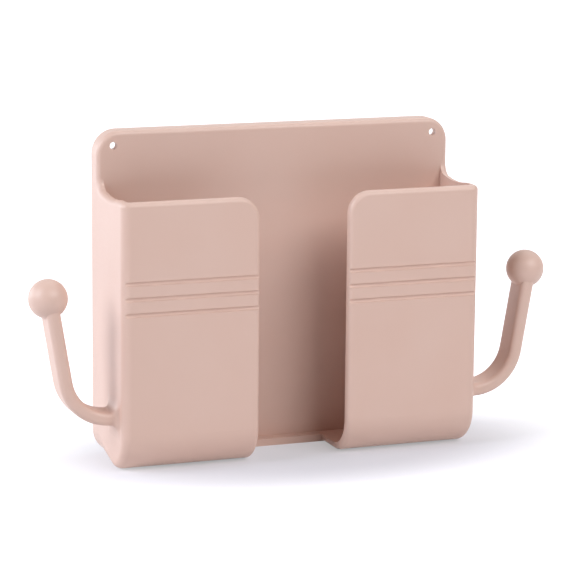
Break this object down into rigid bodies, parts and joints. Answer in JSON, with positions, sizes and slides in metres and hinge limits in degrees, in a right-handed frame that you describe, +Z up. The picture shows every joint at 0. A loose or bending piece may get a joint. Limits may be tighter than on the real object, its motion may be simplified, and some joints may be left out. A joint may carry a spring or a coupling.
{
  "type": "wall phone holder",
  "caption": "Moulded wall phone holder: rounded back plate, open-topped pocket with a cable slot between grooved front panels, and a ball-ended hook on each side.",
  "frame": {"origin": "middle of the base, on the wall plane", "axes": "+X to the right along the plate, +Y into the wall, +Z up"},
  "size_m": [0.1598, 0.0298, 0.096],
  "materials": {
    "moulding": "satin"
  },
  "bodies": {
    "root": {"holder_body": "moulding"}
  },
  "joints": []
}
